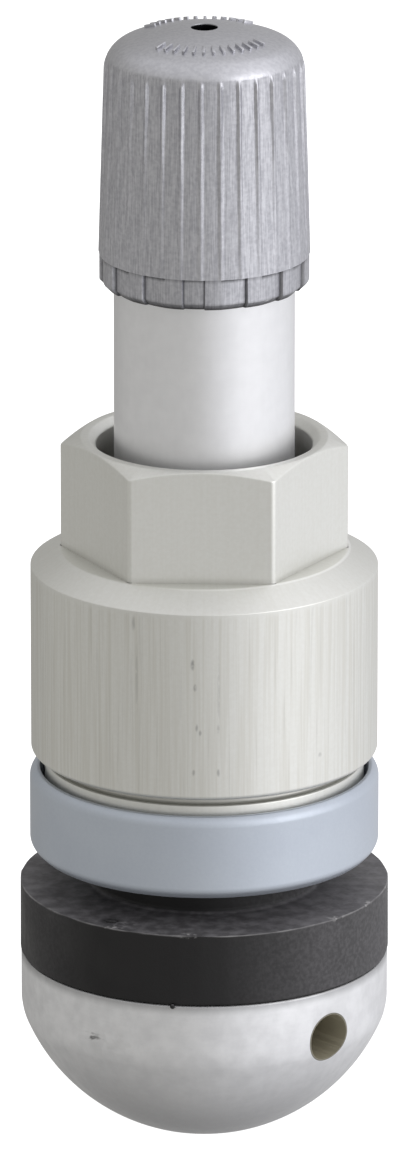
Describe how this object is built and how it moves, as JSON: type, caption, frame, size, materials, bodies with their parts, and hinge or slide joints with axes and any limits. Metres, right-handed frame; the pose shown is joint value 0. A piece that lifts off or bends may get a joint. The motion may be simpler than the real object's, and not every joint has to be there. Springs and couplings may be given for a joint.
{
  "type": "tyre valve",
  "caption": "Clamp-in tyre valve with a ball head, rubber grommet, spacer ring, hexagon collar nut, sprung valve core and fluted screw cap.",
  "frame": {"origin": "centre of the flat foot under the ball head", "axes": "+Z along the stem from the foot to the cap, -Y towards the front of the picture"},
  "size_m": [0.0178, 0.0178, 0.0543],
  "materials": {
    "stem_metal": "satin turned aluminium",
    "nut_metal": "champagne grey anodised aluminium with fine vertical marks",
    "ring_plastic": "cool grey moulded plastic",
    "rubber": "black moulded rubber",
    "seal_rubber": "soft black seal",
    "cap_plastic": "silver grey metallic plastic",
    "core_brass": "plain turned brass",
    "spring_steel": "drawn spring wire"
  },
  "bodies": {
    "stem": {"valve_stem": "stem_metal", "rubber_grommet": "rubber", "core_plug": "core_brass", "core_barrel": "core_brass", "core_gasket": "seal_rubber", "core_spring": "spring_steel"},
    "pin": {"core_pin": "core_brass", "plunger_cup": "core_brass", "plunger_seal": "seal_rubber"},
    "ring": {"spacer_ring": "ring_plastic"},
    "nut": {"collar_nut": "nut_metal"},
    "seal": {"cap_seal": "seal_rubber"},
    "cap": {"valve_cap": "cap_plastic"}
  },
  "joints": [
    {"name": "pin_press", "type": "slide", "parent": "stem", "child": "pin", "axis": [0, 0, -1], "range_m": [0, 0.0012], "stiffness_N_per_m": 500, "deforming": ["core_spring"]},
    {"name": "nut_travel", "type": "slide", "parent": "stem", "child": "ring", "axis": [0, 0, 1], "range_m": [-0.0015, 0.006]},
    {"name": "nut_turn", "type": "hinge", "parent": "ring", "child": "nut", "pos_m": [0, 0, 0.022], "axis": [0, 0, 1], "range_deg": [-541, 2161]},
    {"name": "cap_lift", "type": "slide", "parent": "stem", "child": "seal", "axis": [0, 0, 1], "range_m": [0, 0.00556]},
    {"name": "cap_turn", "type": "hinge", "parent": "seal", "child": "cap", "pos_m": [0, 0, 0.048], "axis": [0, 0, 1], "range_deg": [-1, 2521]}
  ],
  "couplings": [
    {"joint": "nut_turn", "follows": "nut_travel", "rad_per_m": 6283.2},
    {"joint": "cap_turn", "follows": "cap_lift", "rad_per_m": 7915.8}
  ]
}
